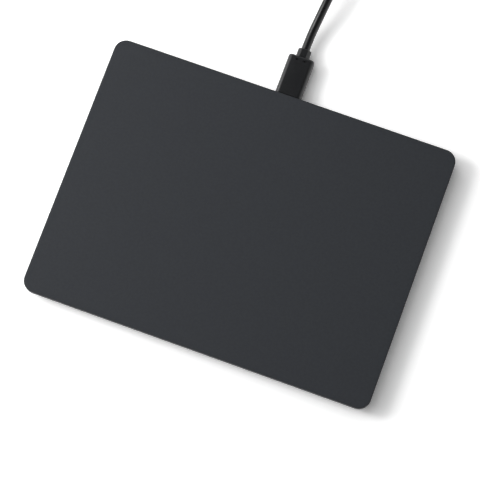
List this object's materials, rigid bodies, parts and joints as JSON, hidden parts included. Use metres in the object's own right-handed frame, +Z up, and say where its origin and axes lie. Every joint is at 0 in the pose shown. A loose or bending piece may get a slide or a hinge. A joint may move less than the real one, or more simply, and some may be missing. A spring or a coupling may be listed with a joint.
{
  "type": "wired desktop trackpad",
  "caption": "Slim rectangular touch pad with a clicking glass top, rubber feet and a detachable lead that plugs into its back edge.",
  "frame": {"origin": "the middle of the pad's footprint, on the desk under its feet", "axes": "+X across the pad to the right, +Y towards the lead at its back, +Z up"},
  "size_m": [0.16, 0.2559, 0.01],
  "materials": {
    "touch_surface": "fine matte coating over dark grey",
    "housing": "moulded, fine texture, dark grey",
    "cover": "moulded, fine texture, darker grey",
    "foot_rubber": "soft matte rubber",
    "screw_steel": "blackened steel",
    "spring_steel": "rolled spring steel",
    "connector_steel": "drawn steel with a nickel coat",
    "contact_gold": "gold-plated pads",
    "board": "glass-fibre laminate with a green solder mask",
    "chip": "moulded black package",
    "connector_plastic": "moulded ivory socket",
    "ribbon_film": "amber film with copper tracks",
    "adhesive": "clear double-sided film",
    "stiffener_metal": "stamped sheet, brushed",
    "striker_rubber": "grey silicone pad",
    "switch_plastic": "moulded black",
    "grip_plastic": "overmoulded black elastomer",
    "cord_jacket": "satin black jacket",
    "tie_fabric": "woven strap"
  },
  "bodies": {
    "base": {"housing": "housing", "bottom_cover": "cover", "cover_screws": "screw_steel", "inner_screws": "screw_steel", "foot_front_left": "foot_rubber", "foot_front_right": "foot_rubber", "foot_rear_left": "foot_rubber", "foot_rear_right": "foot_rubber", "port_board": "board", "port_shell": "connector_steel", "port_tongue": "switch_plastic", "port_contacts": "contact_gold", "port_chip": "chip", "port_connector": "connector_plastic", "flex_cable": "ribbon_film", "hinge_pin_left": "spring_steel", "hinge_pin_right": "spring_steel", "return_spring_left": "spring_steel", "return_spring_right": "spring_steel", "switch_board": "board", "switch_ribbon": "ribbon_film", "switch_left": "switch_plastic", "switch_right": "switch_plastic"},
    "touch_plate": {"touch_glass": "touch_surface", "glass_adhesive": "adhesive", "sensor_board": "board", "stiffener": "stiffener_metal", "touch_controller": "chip", "microcontroller": "chip", "sensor_passives": "connector_plastic", "sensor_connector": "connector_plastic", "striker_left": "striker_rubber", "striker_right": "striker_rubber"},
    "left_plunger": {"plunger_left": "switch_plastic", "dome_left": "spring_steel"},
    "right_plunger": {"plunger_right": "switch_plastic", "dome_right": "spring_steel"},
    "lead": {"usb_c_plug_shell": "connector_steel", "usb_c_plug_insert": "switch_plastic", "usb_c_overmold": "grip_plastic", "usb_c_strain_relief": "grip_plastic", "cord_lead": "cord_jacket", "cord_coil": "cord_jacket", "cord_tail": "cord_jacket", "coil_tie_front": "tie_fabric", "coil_tie_rear": "tie_fabric", "usb_a_strain_relief": "grip_plastic", "usb_a_overmold": "grip_plastic", "usb_a_shell": "connector_steel", "usb_a_tongue": "switch_plastic", "usb_a_contacts": "contact_gold"}
  },
  "joints": [
    {"name": "plate_click", "type": "hinge", "parent": "base", "child": "touch_plate", "pos_m": [0, 0.05, 0.0043], "axis": [1, 0, 0], "range_deg": [0, 0.15], "stiffness_Nm_per_rad": 26.7, "springref_deg": -0.16},
    {"name": "left_switch_press", "type": "slide", "parent": "base", "child": "left_plunger", "axis": [0, 0, -1], "range_m": [0, 0.00026]},
    {"name": "right_switch_press", "type": "slide", "parent": "base", "child": "right_plunger", "axis": [0, 0, -1], "range_m": [0, 0.00026]},
    {"name": "lead_pull", "type": "slide", "parent": "base", "child": "lead", "axis": [0, 1, 0], "range_m": [0, 0.012]}
  ],
  "couplings": [
    {"joint": "left_switch_press", "follows": "plate_click", "m_per_rad": 0.098},
    {"joint": "right_switch_press", "follows": "plate_click", "m_per_rad": 0.098}
  ]
}
